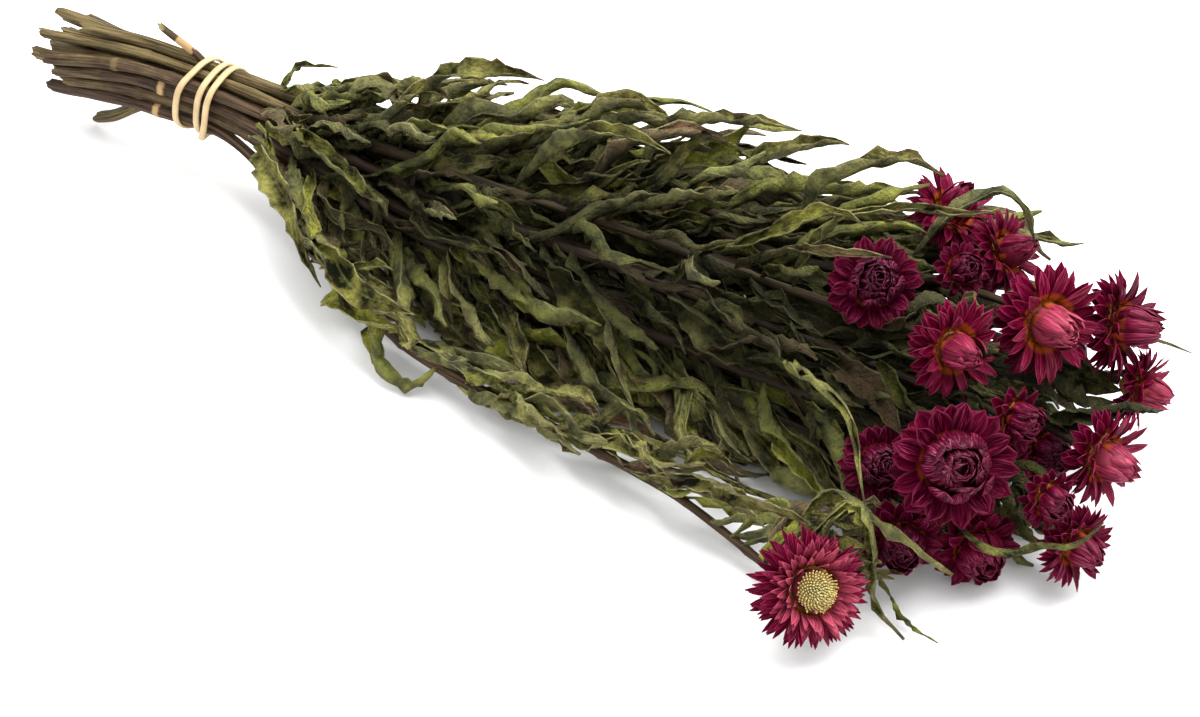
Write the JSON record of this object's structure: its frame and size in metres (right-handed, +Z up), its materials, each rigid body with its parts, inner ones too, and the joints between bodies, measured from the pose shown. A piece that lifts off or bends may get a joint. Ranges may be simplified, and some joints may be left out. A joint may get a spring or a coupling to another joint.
{
  "type": "tied bunch of dried strawflowers",
  "caption": "Bunch of dried strawflowers lying on its side: leafy stems held by a wound rubber band, with papery magenta heads at one end.",
  "frame": {"origin": "under the middle of the bunch, on the surface that it lies on", "axes": "+X along the bunch from the cut ends to the heads, +Z up"},
  "size_m": [0.5268, 0.2158, 0.0996],
  "materials": {
    "stem_and_leaf": "dry matt olive green leaf and brown stem",
    "bract": "papery satin magenta",
    "disc": "matt pale yellow",
    "tie": "matt cream"
  },
  "bodies": {
    "root": {"leafy_stem_01": "stem_and_leaf", "leafy_stem_02": "stem_and_leaf", "leafy_stem_03": "stem_and_leaf", "leafy_stem_04": "stem_and_leaf", "leafy_stem_05": "stem_and_leaf", "leafy_stem_06": "stem_and_leaf", "leafy_stem_07": "stem_and_leaf", "leafy_stem_08": "stem_and_leaf", "leafy_stem_09": "stem_and_leaf", "leafy_stem_10": "stem_and_leaf", "leafy_stem_11": "stem_and_leaf", "leafy_stem_12": "stem_and_leaf", "leafy_stem_13": "stem_and_leaf", "leafy_stem_14": "stem_and_leaf", "leafy_stem_15": "stem_and_leaf", "leafy_stem_16": "stem_and_leaf", "leafy_stem_17": "stem_and_leaf", "leafy_stem_18": "stem_and_leaf", "leafy_stem_19": "stem_and_leaf", "leafy_stem_20": "stem_and_leaf", "flower_head_01": "bract", "flower_head_02": "bract", "flower_head_03": "bract", "flower_head_04": "bract", "flower_head_05": "bract", "flower_head_06": "bract", "flower_head_07": "bract", "flower_head_08": "bract", "flower_head_09": "bract", "flower_head_10": "bract", "flower_head_11": "bract", "flower_head_12": "bract", "flower_head_13": "bract", "flower_head_14": "bract", "flower_head_15": "bract", "flower_head_16": "bract", "flower_head_17": "bract", "flower_head_18": "bract", "flower_head_19": "bract", "flower_head_20": "bract", "open_head_disc": "disc", "rubber_band_tie": "tie"}
  },
  "joints": []
}
